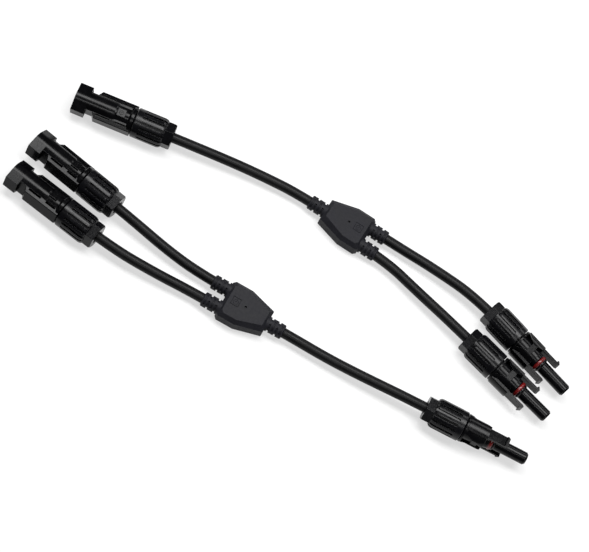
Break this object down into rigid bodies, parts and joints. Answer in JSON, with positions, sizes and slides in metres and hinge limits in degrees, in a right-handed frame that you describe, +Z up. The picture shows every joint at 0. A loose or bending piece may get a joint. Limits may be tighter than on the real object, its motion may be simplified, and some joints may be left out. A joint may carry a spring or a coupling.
{
  "type": "solar cable connector",
  "caption": "Matched pair of solar Y-branch cable leads: a shell connector feeding probe connectors through a moulded splitter, and its mirror-purpose partner, with screw caps and snap latches.",
  "frame": {"origin": "middle of the pair on the table, at the bottom centre of its own pieces without the cables", "axes": "+X along the leads from the shell connectors to the probe connectors, +Z up from the table, +Y towards lead A"},
  "size_m": [0.3425, 0.1132, 0.0195],
  "materials": {
    "housing_plastic": "black glass-filled engineering plastic, semi-gloss moulded face",
    "nut_plastic": "black engineering plastic, satin with glossy rib tops",
    "cage_plastic": "dark grey nylon",
    "gland_rubber": "matte black rubber",
    "red_silicone": "smooth red silicone",
    "tinned_contact": "tin-plated copper alloy, satin",
    "bare_copper": "bare stranded copper",
    "spring_steel": "stainless spring strip",
    "spring_copper": "tinned beryllium-copper strip",
    "splitter_elastomer": "matte blue-black moulded elastomer with a finely sparked face",
    "core_plastic": "dark grey polypropylene pre-mould",
    "cable_jacket": "black cross-linked polyolefin, soft sheen"
  },
  "bodies": {
    "lead_a": {"shell_a_housing": "housing_plastic", "shell_a_gland": "gland_rubber", "shell_a_pin": "tinned_contact", "probe_a1_housing": "housing_plastic", "probe_a1_gland": "gland_rubber", "probe_a1_socket": "tinned_contact", "probe_a1_o_ring": "red_silicone", "probe_a2_housing": "housing_plastic", "probe_a2_gland": "gland_rubber", "probe_a2_socket": "tinned_contact", "probe_a2_o_ring": "red_silicone", "splitter_a_overmould": "splitter_elastomer", "splitter_a_core": "core_plastic", "splitter_a_ferrule": "bare_copper", "conductors_a": "bare_copper", "contact_clips_a": "spring_steel", "contact_springs_a": "spring_copper", "trunk_cable_a": "cable_jacket", "back_cable_a": "cable_jacket", "front_cable_a": "cable_jacket"},
    "lead_b": {"shell_b1_housing": "housing_plastic", "shell_b1_gland": "gland_rubber", "shell_b1_pin": "tinned_contact", "shell_b2_housing": "housing_plastic", "shell_b2_gland": "gland_rubber", "shell_b2_pin": "tinned_contact", "probe_b_housing": "housing_plastic", "probe_b_gland": "gland_rubber", "probe_b_socket": "tinned_contact", "probe_b_o_ring": "red_silicone", "splitter_b_overmould": "splitter_elastomer", "splitter_b_core": "core_plastic", "splitter_b_ferrule": "bare_copper", "conductors_b": "bare_copper", "contact_clips_b": "spring_steel", "contact_springs_b": "spring_copper", "trunk_cable_b": "cable_jacket", "back_cable_b": "cable_jacket", "front_cable_b": "cable_jacket"},
    "shell_a_clamp": {"shell_a_cage": "cage_plastic"},
    "shell_a_cap": {"shell_a_nut": "nut_plastic"},
    "shell_b1_clamp": {"shell_b1_cage": "cage_plastic"},
    "shell_b1_cap": {"shell_b1_nut": "nut_plastic"},
    "shell_b2_clamp": {"shell_b2_cage": "cage_plastic"},
    "shell_b2_cap": {"shell_b2_nut": "nut_plastic"},
    "probe_a1_clamp": {"probe_a1_cage": "cage_plastic"},
    "probe_a1_cap": {"probe_a1_nut": "nut_plastic"},
    "probe_a1_left_latch_arm": {"probe_a1_left_latch": "housing_plastic"},
    "probe_a1_right_latch_arm": {"probe_a1_right_latch": "housing_plastic"},
    "probe_a2_clamp": {"probe_a2_cage": "cage_plastic"},
    "probe_a2_cap": {"probe_a2_nut": "nut_plastic"},
    "probe_a2_left_latch_arm": {"probe_a2_left_latch": "housing_plastic"},
    "probe_a2_right_latch_arm": {"probe_a2_right_latch": "housing_plastic"},
    "probe_b_clamp": {"probe_b_cage": "cage_plastic"},
    "probe_b_cap": {"probe_b_nut": "nut_plastic"},
    "probe_b_left_latch_arm": {"probe_b_left_latch": "housing_plastic"},
    "probe_b_right_latch_arm": {"probe_b_right_latch": "housing_plastic"}
  },
  "joints": [
    {"name": "lead_b_lift", "type": "slide", "parent": "lead_a", "child": "lead_b", "axis": [0, 0, 1], "range_m": [0, 0.1]},
    {"name": "shell_a_clamp_slide", "type": "slide", "parent": "lead_a", "child": "shell_a_clamp", "axis": [0.9816, 0.1908, 0], "range_m": [0, 0.00752]},
    {"name": "shell_a_nut_turn", "type": "hinge", "parent": "shell_a_clamp", "child": "shell_a_cap", "pos_m": [-0.1056, 0.0307, 0.0091], "axis": [0.9816, 0.1908, 0], "range_deg": [0, 1080]},
    {"name": "shell_b1_clamp_slide", "type": "slide", "parent": "lead_b", "child": "shell_b1_clamp", "axis": [0.9921, -0.1253, 0], "range_m": [0, 0.00752]},
    {"name": "shell_b1_nut_turn", "type": "hinge", "parent": "shell_b1_clamp", "child": "shell_b1_cap", "pos_m": [-0.1085, -0.026, 0.0091], "axis": [0.9921, -0.1253, 0], "range_deg": [0, 1080]},
    {"name": "shell_b2_clamp_slide", "type": "slide", "parent": "lead_b", "child": "shell_b2_clamp", "axis": [0.9952, -0.0976, 0], "range_m": [0, 0.00752]},
    {"name": "shell_b2_nut_turn", "type": "hinge", "parent": "shell_b2_clamp", "child": "shell_b2_cap", "pos_m": [-0.1081, -0.0482, 0.0091], "axis": [0.9952, -0.0976, 0], "range_deg": [0, 1080]},
    {"name": "probe_a1_clamp_slide", "type": "slide", "parent": "lead_a", "child": "probe_a1_clamp", "axis": [-0.9613, 0.2756, 0], "range_m": [0, 0.00752]},
    {"name": "probe_a1_nut_turn", "type": "hinge", "parent": "probe_a1_clamp", "child": "probe_a1_cap", "pos_m": [0.1076, 0.0456, 0.0091], "axis": [-0.9613, 0.2756, 0], "range_deg": [0, 1080]},
    {"name": "probe_a1_left_latch_flex", "type": "hinge", "parent": "lead_a", "child": "probe_a1_left_latch_arm", "pos_m": [0.14536, 0.04234, 0.0091], "axis": [0, 0, -1], "range_deg": [0, 5], "stiffness_Nm_per_rad": 0.5},
    {"name": "probe_a1_right_latch_flex", "type": "hinge", "parent": "lead_a", "child": "probe_a1_right_latch_arm", "pos_m": [0.14135, 0.02835, 0.0091], "axis": [0, 0, 1], "range_deg": [0, 5], "stiffness_Nm_per_rad": 0.5},
    {"name": "probe_a2_clamp_slide", "type": "slide", "parent": "lead_a", "child": "probe_a2_clamp", "axis": [-0.9711, 0.2385, 0], "range_m": [0, 0.00752]},
    {"name": "probe_a2_nut_turn", "type": "hinge", "parent": "probe_a2_clamp", "child": "probe_a2_cap", "pos_m": [0.1046, 0.0229, 0.0091], "axis": [-0.9711, 0.2385, 0], "range_deg": [0, 1080]},
    {"name": "probe_a2_left_latch_flex", "type": "hinge", "parent": "lead_a", "child": "probe_a2_left_latch_arm", "pos_m": [0.14246, 0.02109, 0.0091], "axis": [0, 0, -1], "range_deg": [0, 5], "stiffness_Nm_per_rad": 0.5},
    {"name": "probe_a2_right_latch_flex", "type": "hinge", "parent": "lead_a", "child": "probe_a2_right_latch_arm", "pos_m": [0.13899, 0.00696, 0.0091], "axis": [0, 0, 1], "range_deg": [0, 5], "stiffness_Nm_per_rad": 0.5},
    {"name": "probe_b_clamp_slide", "type": "slide", "parent": "lead_b", "child": "probe_b_clamp", "axis": [-0.9954, -0.0958, 0], "range_m": [0, 0.00752]},
    {"name": "probe_b_nut_turn", "type": "hinge", "parent": "probe_b_clamp", "child": "probe_b_cap", "pos_m": [0.1042, -0.0287, 0.01], "axis": [-0.9954, -0.0958, 0], "range_deg": [0, 1080]},
    {"name": "probe_b_left_latch_flex", "type": "hinge", "parent": "lead_b", "child": "probe_b_left_latch_arm", "pos_m": [0.14116, -0.02438, 0.01724], "axis": [-0.0953, 0.9899, -0.1045], "range_deg": [0, 5], "stiffness_Nm_per_rad": 0.5},
    {"name": "probe_b_right_latch_flex", "type": "hinge", "parent": "lead_b", "child": "probe_b_right_latch_arm", "pos_m": [0.1413, -0.02589, 0.00277], "axis": [0.0953, -0.9899, 0.1045], "range_deg": [0, 5], "stiffness_Nm_per_rad": 0.5}
  ],
  "couplings": [
    {"joint": "shell_a_clamp_slide", "follows": "shell_a_nut_turn", "m_per_rad": 0.00039789},
    {"joint": "shell_b1_clamp_slide", "follows": "shell_b1_nut_turn", "m_per_rad": 0.00039789},
    {"joint": "shell_b2_clamp_slide", "follows": "shell_b2_nut_turn", "m_per_rad": 0.00039789},
    {"joint": "probe_a1_clamp_slide", "follows": "probe_a1_nut_turn", "m_per_rad": 0.00039789},
    {"joint": "probe_a2_clamp_slide", "follows": "probe_a2_nut_turn", "m_per_rad": 0.00039789},
    {"joint": "probe_b_clamp_slide", "follows": "probe_b_nut_turn", "m_per_rad": 0.00039789}
  ]
}
